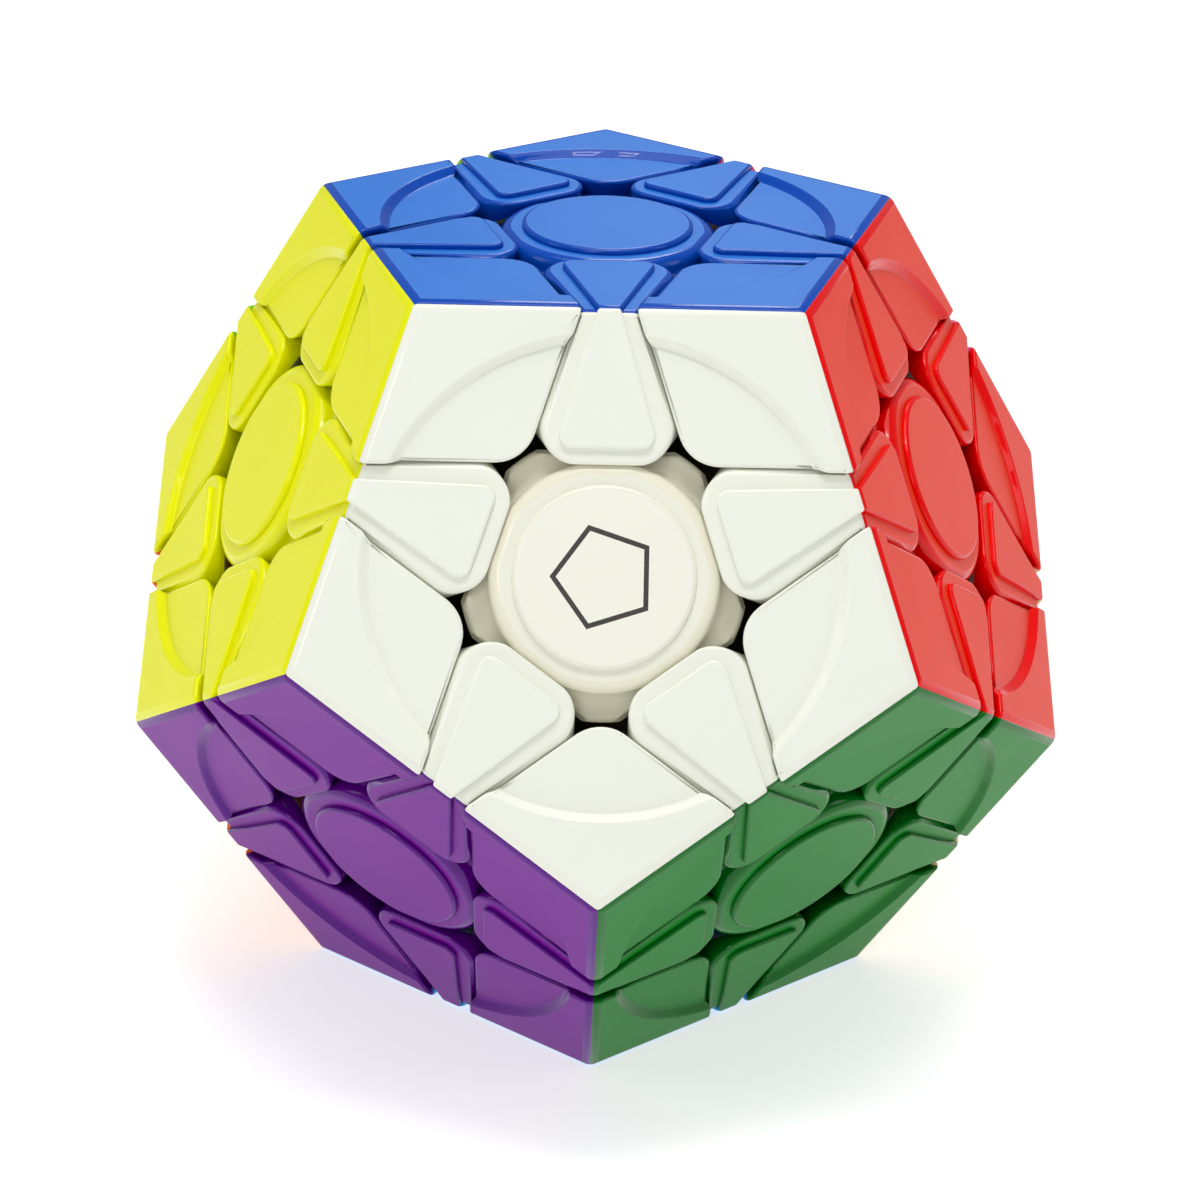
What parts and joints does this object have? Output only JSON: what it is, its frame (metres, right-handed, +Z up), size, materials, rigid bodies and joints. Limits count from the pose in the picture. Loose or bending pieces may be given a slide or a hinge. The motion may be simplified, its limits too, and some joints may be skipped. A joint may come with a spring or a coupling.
{
  "type": "dodecahedron twisty puzzle",
  "caption": "Pocket puzzle shaped as a dodecahedron: coloured faces of corner, edge and centre pieces turn in layers on a sprung core.",
  "frame": {"origin": "middle of the cyan bottom face, on the surface that the puzzle rests on", "axes": "+Z up along the blue face's axis, -Y towards the white face"},
  "size_m": [0.0812, 0.0854, 0.069],
  "materials": {
    "blue_plastic": "moulded blue ABS, satin faces with polished bevels",
    "white_plastic": "moulded white ABS, satin faces with polished bevels",
    "red_plastic": "moulded red ABS, satin faces with polished bevels",
    "pink_plastic": "moulded pink ABS, satin faces with polished bevels",
    "lime_plastic": "moulded lime ABS, satin faces with polished bevels",
    "yellow_plastic": "moulded yellow ABS, satin faces with polished bevels",
    "green_plastic": "moulded green ABS, satin faces with polished bevels",
    "cream_plastic": "moulded cream ABS, satin faces with polished bevels",
    "grey_plastic": "moulded grey ABS, satin faces with polished bevels",
    "orange_plastic": "moulded orange ABS, satin faces with polished bevels",
    "purple_plastic": "moulded purple ABS, satin faces with polished bevels",
    "cyan_plastic": "moulded cyan ABS, satin faces with polished bevels",
    "black_plastic": "black nylon, fine satin",
    "core_plastic": "off-white nylon",
    "screw_steel": "zinc-plated steel",
    "spring_steel": "bright spring steel"
  },
  "bodies": {
    "core_frame": {"blue_centre_body": "blue_plastic", "blue_centre_cap": "blue_plastic", "blue_shells_core_frame": "blue_plastic", "core": "core_plastic", "cream_centre_body": "cream_plastic", "cream_centre_cap": "cream_plastic", "cream_shells_core_frame": "cream_plastic", "cyan_centre_body": "cyan_plastic", "cyan_centre_cap": "cyan_plastic", "cyan_shells_core_frame": "cyan_plastic", "feet_core_frame": "black_plastic", "green_centre_body": "green_plastic", "green_centre_cap": "green_plastic", "green_shells_core_frame": "green_plastic", "grey_centre_body": "grey_plastic", "grey_centre_cap": "grey_plastic", "grey_shells_core_frame": "grey_plastic", "lime_centre_body": "lime_plastic", "lime_centre_cap": "lime_plastic", "lime_shells_core_frame": "lime_plastic", "purple_centre_body": "purple_plastic", "purple_centre_cap": "purple_plastic", "purple_shells_core_frame": "purple_plastic", "red_centre_body": "red_plastic", "red_centre_cap": "red_plastic", "red_shells_core_frame": "red_plastic", "screws": "screw_steel", "springs": "spring_steel", "washers": "spring_steel", "yellow_centre_body": "yellow_plastic", "yellow_centre_cap": "yellow_plastic", "yellow_shells_core_frame": "yellow_plastic"},
    "white_layer": {"blue_shells_white_layer": "blue_plastic", "feet_white_layer": "black_plastic", "green_shells_white_layer": "green_plastic", "purple_shells_white_layer": "purple_plastic", "red_shells_white_layer": "red_plastic", "white_centre_body": "white_plastic", "white_centre_cap": "white_plastic", "white_shells_white_layer": "white_plastic", "yellow_shells_white_layer": "yellow_plastic"},
    "pink_layer": {"blue_shells_pink_layer": "blue_plastic", "cream_shells_pink_layer": "cream_plastic", "feet_pink_layer": "black_plastic", "grey_shells_pink_layer": "grey_plastic", "lime_shells_pink_layer": "lime_plastic", "pink_centre_body": "pink_plastic", "pink_centre_cap": "pink_plastic", "pink_shells_pink_layer": "pink_plastic", "red_shells_pink_layer": "red_plastic"},
    "orange_layer": {"cyan_shells_orange_layer": "cyan_plastic", "feet_orange_layer": "black_plastic", "grey_shells_orange_layer": "grey_plastic", "lime_shells_orange_layer": "lime_plastic", "orange_centre_body": "orange_plastic", "orange_centre_cap": "orange_plastic", "orange_shells_orange_layer": "orange_plastic", "purple_shells_orange_layer": "purple_plastic", "yellow_shells_orange_layer": "yellow_plastic"}
  },
  "joints": [
    {"name": "white_turn", "type": "hinge", "parent": "core_frame", "child": "white_layer", "pos_m": [0, 0, 0.03452], "axis": [0, -0.8944, 0.4472], "continuous": true},
    {"name": "pink_turn", "type": "hinge", "parent": "core_frame", "child": "pink_layer", "pos_m": [0, 0, 0.03452], "axis": [0.5257, 0.7236, 0.4472], "continuous": true},
    {"name": "orange_turn", "type": "hinge", "parent": "core_frame", "child": "orange_layer", "pos_m": [0, 0, 0.03452], "axis": [-0.8507, 0.2764, -0.4472], "continuous": true}
  ]
}
